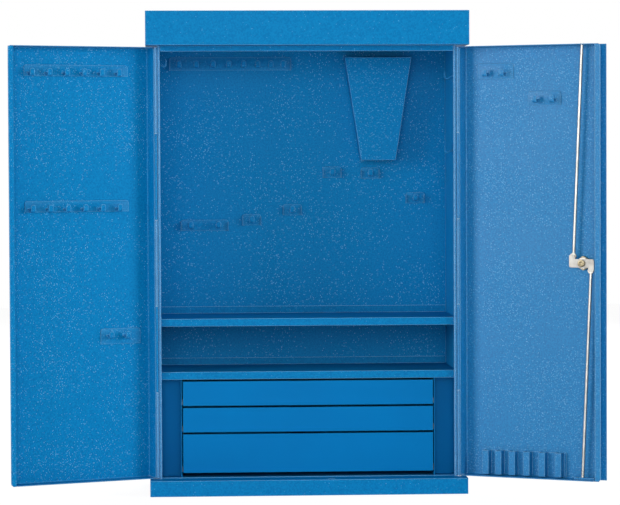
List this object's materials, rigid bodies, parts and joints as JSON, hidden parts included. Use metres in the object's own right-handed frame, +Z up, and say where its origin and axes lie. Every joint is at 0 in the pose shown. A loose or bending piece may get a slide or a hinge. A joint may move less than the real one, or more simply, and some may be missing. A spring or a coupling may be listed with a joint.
{
  "type": "tool wall cabinet",
  "caption": "Steel wall cabinet for tools with two hinged doors, shelves, drawers, hook rails, a tool holder, a pocket strip and a rod lock.",
  "frame": {"origin": "centre of the plinth's underside", "axes": "+X to the right, +Y to the wall behind, +Z up"},
  "size_m": [1.1559, 0.3509, 0.95],
  "materials": {
    "hammer_blue": "fine hammer-finish enamel",
    "smooth_blue": "smooth semi-gloss enamel",
    "zinc_steel": "bright zinc plate",
    "brass": "yellow passivated"
  },
  "bodies": {
    "cabinet": {"left_side": "hammer_blue", "right_side": "hammer_blue", "back_panel": "hammer_blue", "floor_panel": "hammer_blue", "top_panel": "hammer_blue", "top_rail": "hammer_blue", "header": "hammer_blue", "plinth": "hammer_blue", "upper_shelf": "hammer_blue", "lower_shelf": "hammer_blue", "drawer_unit_left": "smooth_blue", "drawer_unit_right": "smooth_blue", "left_runners": "zinc_steel", "right_runners": "zinc_steel", "left_hinge_body_leaf": "hammer_blue", "right_hinge_body_leaf": "hammer_blue", "left_hinge_pin": "zinc_steel", "right_hinge_pin": "zinc_steel", "back_hook_rail": "hammer_blue", "back_wide_clip": "hammer_blue", "back_clip_1": "hammer_blue", "back_clip_2": "hammer_blue", "back_clip_3": "hammer_blue", "back_clip_4": "hammer_blue", "back_clip_5": "hammer_blue", "left_side_clip": "hammer_blue", "right_side_clip_1": "hammer_blue", "right_side_clip_2": "hammer_blue", "tapered_holder": "hammer_blue"},
    "left_door": {"left_door_pan": "hammer_blue", "left_hinge_door_leaf": "hammer_blue", "left_upper_hook_rail": "hammer_blue", "left_middle_hook_rail": "hammer_blue", "left_lower_clip": "hammer_blue"},
    "right_door": {"right_door_pan": "hammer_blue", "right_hinge_door_leaf": "hammer_blue", "right_upper_clip": "hammer_blue", "right_second_clip": "hammer_blue", "tool_pocket_strip": "hammer_blue", "rod_guide": "hammer_blue", "lock_body": "zinc_steel", "lock_nut": "brass"},
    "lock_cam": {"lock_cam": "zinc_steel", "lock_plug": "zinc_steel", "cam_screw": "brass"},
    "upper_rod": {"upper_rod": "zinc_steel"},
    "lower_rod": {"lower_rod": "zinc_steel"},
    "lower_drawer": {"lower_drawer_front": "smooth_blue", "lower_drawer_tray": "smooth_blue"},
    "middle_drawer": {"middle_drawer_front": "smooth_blue", "middle_drawer_tray": "smooth_blue"},
    "upper_drawer": {"upper_drawer_front": "smooth_blue", "upper_drawer_tray": "smooth_blue"}
  },
  "joints": [
    {"name": "left_door_hinge", "type": "hinge", "parent": "cabinet", "child": "left_door", "pos_m": [-0.2975, -0.087, 0.4], "axis": [0, 0, -1], "range_deg": [-156.5, 23.5]},
    {"name": "right_door_hinge", "type": "hinge", "parent": "cabinet", "child": "right_door", "pos_m": [0.2975, -0.087, 0.4], "axis": [0, 0, 1], "range_deg": [-151.4, 28.6]},
    {"name": "lock_turn", "type": "hinge", "parent": "right_door", "child": "lock_cam", "pos_m": [0.52681, -0.19494, 0.455], "axis": [0.4787, 0.878, 0], "range_deg": [0, 52]},
    {"name": "upper_rod_pivot", "type": "hinge", "parent": "lock_cam", "child": "upper_rod", "pos_m": [0.51244, -0.18369, 0.469], "axis": [0.4787, 0.878, 0], "range_deg": [-55, 0]},
    {"name": "lower_rod_pivot", "type": "hinge", "parent": "lock_cam", "child": "lower_rod", "pos_m": [0.54405, -0.20092, 0.441], "axis": [0.4787, 0.878, 0], "range_deg": [-55, 0]},
    {"name": "lower_drawer_slide", "type": "slide", "parent": "cabinet", "child": "lower_drawer", "axis": [0, -1, 0], "range_m": [0, 0.15]},
    {"name": "middle_drawer_slide", "type": "slide", "parent": "cabinet", "child": "middle_drawer", "axis": [0, -1, 0], "range_m": [0, 0.15]},
    {"name": "upper_drawer_slide", "type": "slide", "parent": "cabinet", "child": "upper_drawer", "axis": [0, -1, 0], "range_m": [0, 0.15]}
  ],
  "couplings": [
    {"joint": "upper_rod_pivot", "follows": "lock_turn", "ratio": -1.0478},
    {"joint": "lower_rod_pivot", "follows": "lock_turn", "ratio": -1.0483}
  ]
}
